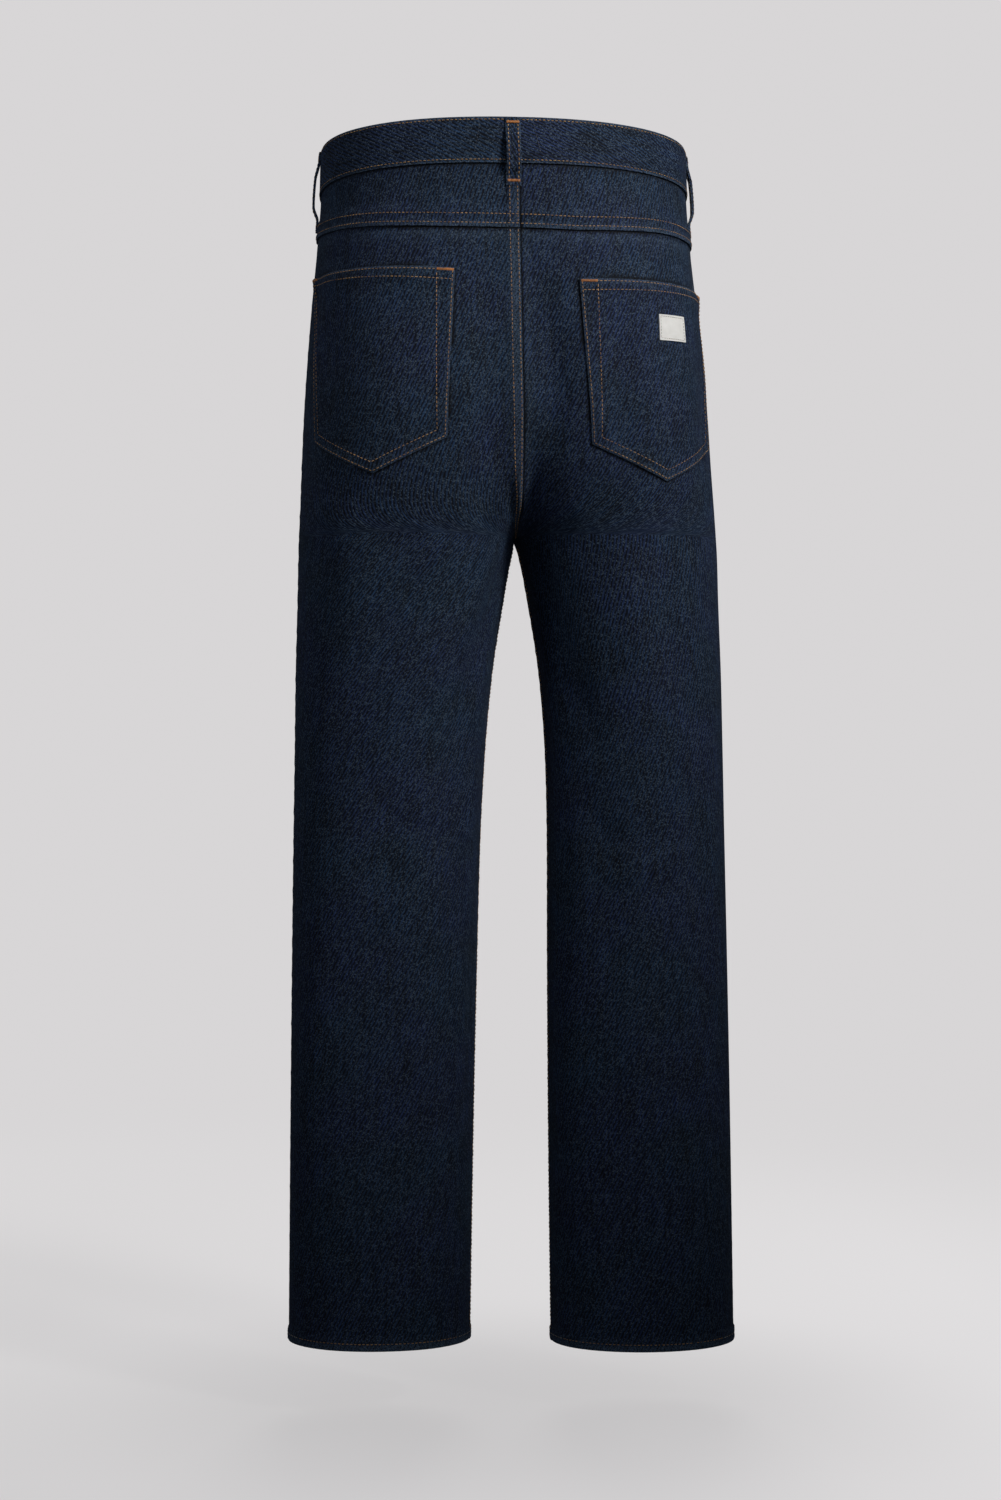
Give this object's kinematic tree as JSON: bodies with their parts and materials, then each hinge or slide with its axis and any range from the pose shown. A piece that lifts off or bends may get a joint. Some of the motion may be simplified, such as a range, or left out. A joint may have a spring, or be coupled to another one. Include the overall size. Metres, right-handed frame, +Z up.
{
  "type": "straight leg jeans",
  "caption": "Straight leg denim jeans in a five pocket cut, filled out as worn with nobody inside, open at the waist and at both hems.",
  "frame": {"origin": "centre of the waist opening, level with the top edge of the waistband at the sides", "axes": "+Z up out of the waist, the fly faces -Y, the seat faces +Y, +X is the wearer's left"},
  "size_m": [0.41, 0.2505, 1.099],
  "materials": {
    "denim": "dark rinsed indigo right hand twill",
    "label_cloth": "bare white woven tape",
    "button_metal": "aged, satin"
  },
  "bodies": {
    "root": {"waistband": "denim", "yoke_left": "denim", "yoke_right": "denim", "back_left": "denim", "back_right": "denim", "front_left": "denim", "front_right": "denim", "pocket_facing_left": "denim", "pocket_facing_right": "denim", "back_pocket_left": "denim", "back_pocket_right": "denim", "fly_shield": "denim", "belt_loop_back": "denim", "belt_loop_side_left": "denim", "belt_loop_side_right": "denim", "belt_loop_front_left": "denim", "belt_loop_front_right": "denim", "pocket_label": "label_cloth", "waist_button": "button_metal"}
  },
  "joints": []
}
